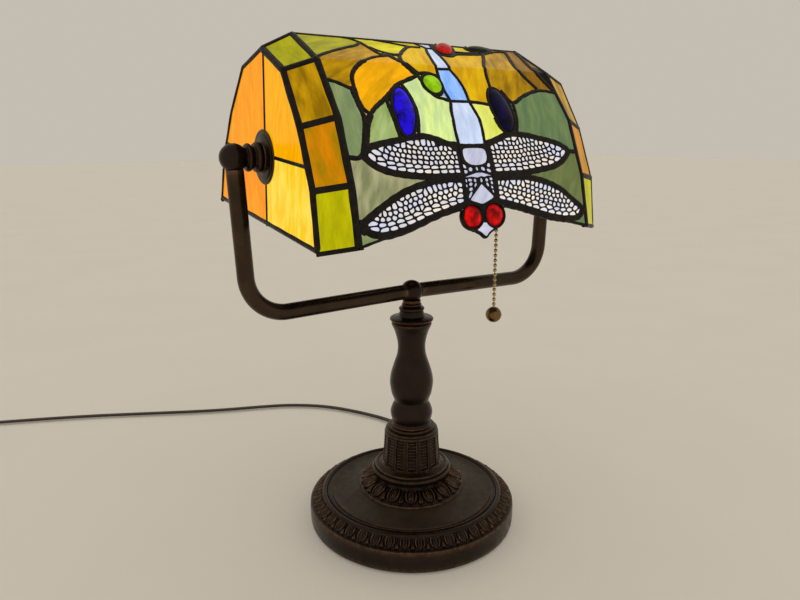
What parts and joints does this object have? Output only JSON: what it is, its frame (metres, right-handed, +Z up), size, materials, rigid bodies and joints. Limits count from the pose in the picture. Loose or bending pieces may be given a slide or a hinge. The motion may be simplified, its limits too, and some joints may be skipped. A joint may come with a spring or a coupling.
{
  "type": "banker desk lamp",
  "caption": "Table lamp with a tilting leaded-glass barrel shade in a two-armed yoke on a turned column, with a round weighted foot, a ball-chain switch and a lead with a plug",
  "frame": {"origin": "centre of the felt's bottom face, under the column", "axes": "+Z up along the column; the tilt axis runs parallel to X, 0.3026 m up; the front of the shade faces -Y"},
  "size_m": [0.5759, 0.5188, 0.3831],
  "materials": {
    "bronze": "antique bronze, satin with worn copper edges",
    "lead": "blackened lead came, satin",
    "cast_iron": "rough, bare",
    "steel": "zinc plated",
    "brass": "satin",
    "felt": "wool felt",
    "front_glass": "opalescent leaded glass, blue, green and amber panes, lit from inside",
    "amber_glass": "opalescent amber glass, lit from inside",
    "border_glass": "opalescent olive and amber glass, lit from inside",
    "red_glass": "polished red cabochon, lit from inside",
    "bulb_glass": "frosted, lit",
    "cord_plastic": "dark brown, satin"
  },
  "bodies": {
    "base_and_yoke": {"arm_ball_left": "bronze", "arm_ball_right": "bronze", "base_casting": "bronze", "base_weight": "cast_iron", "bulb_base": "steel", "bulb_glass": "bulb_glass", "chain_guide": "brass", "column_cap": "bronze", "column_rod": "steel", "column_vase": "bronze", "cord_coil": "cord_plastic", "cord_lead": "cord_plastic", "cord_tie": "cord_plastic", "felt_pad": "felt", "fluted_collar": "bronze", "hub_ball": "bronze", "leaf_collar": "bronze", "lock_nut_left": "steel", "lock_nut_right": "steel", "pivot_collar_left": "bronze", "pivot_collar_right": "bronze", "pivot_stud_left": "steel", "pivot_stud_right": "steel", "plug_blade_left": "brass", "plug_blade_right": "brass", "plug_body": "cord_plastic", "rod_nut": "steel", "rod_washer": "steel", "socket_block": "cord_plastic", "socket_cap": "brass", "socket_shell": "brass", "spring_washer_left": "steel", "spring_washer_right": "steel", "strain_relief": "cord_plastic", "yoke_tube_left": "bronze", "yoke_tube_right": "bronze"},
    "shade": {"back_glass": "front_glass", "border_glass_left": "border_glass", "border_glass_right": "border_glass", "came_end_left": "lead", "came_end_right": "lead", "came_ridge": "lead", "came_seam_left": "lead", "came_seam_right": "lead", "end_glass_left": "amber_glass", "end_glass_right": "amber_glass", "escutcheon_left": "bronze", "escutcheon_right": "bronze", "eye_gem_left": "red_glass", "eye_gem_right": "red_glass", "front_glass": "front_glass", "rim_back": "lead", "rim_front": "lead", "wing_lower_left": "lead", "wing_lower_right": "lead", "wing_upper_left": "lead", "wing_upper_right": "lead"},
    "pull_link": {"pull_link": "brass"},
    "pull_chain": {"chain_ball": "bronze", "pull_chain": "bronze"}
  },
  "joints": [
    {"name": "shade_tilt", "type": "hinge", "parent": "base_and_yoke", "child": "shade", "pos_m": [0, 0, 0.3026], "axis": [-1, 0, 0], "range_deg": [-20, 45]},
    {"name": "chain_pull", "type": "slide", "parent": "base_and_yoke", "child": "pull_link", "axis": [0, -0.5736, -0.8191], "range_m": [0, 0.008], "stiffness_N_per_m": 300, "springref_m": -0.004},
    {"name": "chain_swing", "type": "hinge", "parent": "pull_link", "child": "pull_chain", "pos_m": [0.071, -0.01698, 0.27835], "axis": [-1, 0, 0], "range_deg": [-5, 40]}
  ]
}
